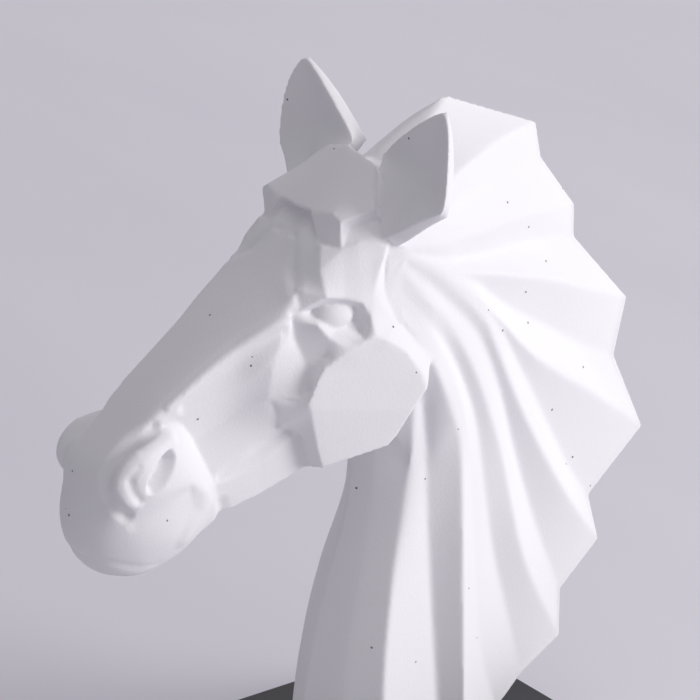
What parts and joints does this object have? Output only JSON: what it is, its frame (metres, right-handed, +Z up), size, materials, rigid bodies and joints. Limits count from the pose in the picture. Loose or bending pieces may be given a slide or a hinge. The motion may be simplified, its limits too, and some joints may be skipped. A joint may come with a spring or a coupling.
{
  "type": "horse head bust sculpture",
  "caption": "Faceted horse-head bust with a swept, pleated mane and upright ears, cast in matte white, standing on a square satin black plinth",
  "frame": {"origin": "middle of the plinth's underside", "axes": "+Z is up, the horse faces -Y, and its left side is +X"},
  "size_m": [0.14, 0.278, 0.3118],
  "materials": {
    "matte_white": "matte fine-grained casting with small pinholes",
    "satin_black": "satin lacquer"
  },
  "bodies": {
    "root": {"horse_bust": "matte_white", "plinth": "satin_black"}
  },
  "joints": []
}
